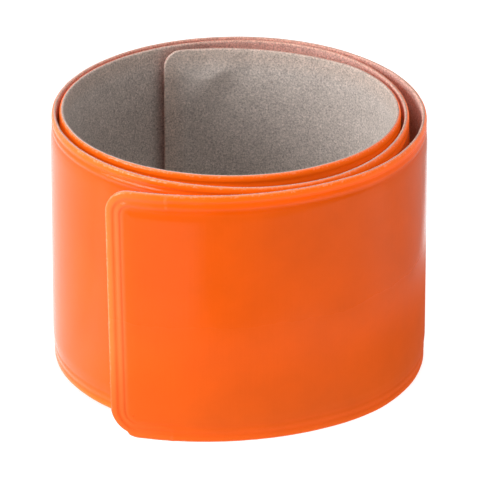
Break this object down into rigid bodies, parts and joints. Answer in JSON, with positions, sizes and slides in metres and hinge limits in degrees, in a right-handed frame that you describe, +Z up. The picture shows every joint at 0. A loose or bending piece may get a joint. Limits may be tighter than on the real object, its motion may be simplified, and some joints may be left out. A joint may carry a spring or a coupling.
{
  "type": "slap bracelet, coiled",
  "caption": "Slap bracelet snapped into its coil: a glossy welded front strip, a flocked backing and a sprung steel strip sealed between them.",
  "frame": {"origin": "middle of the coil's box, on the surface that the strip's lower edge stands on", "axes": "+Z up along the coil's axis; -Y faces the viewer, with the strip's loose outer end at the front left; +X to the right"},
  "size_m": [0.0426, 0.0462, 0.03],
  "materials": {
    "front_cover": "glossy orange PVC film, clear over a bright orange layer",
    "flocked_backing": "short grey flock on a thin PVC sheet",
    "steel_spring": "bare rolled spring strip, out of sight"
  },
  "bodies": {
    "root": {"front_cover": "front_cover", "flocked_backing": "flocked_backing", "steel_spring": "steel_spring"}
  },
  "joints": []
}
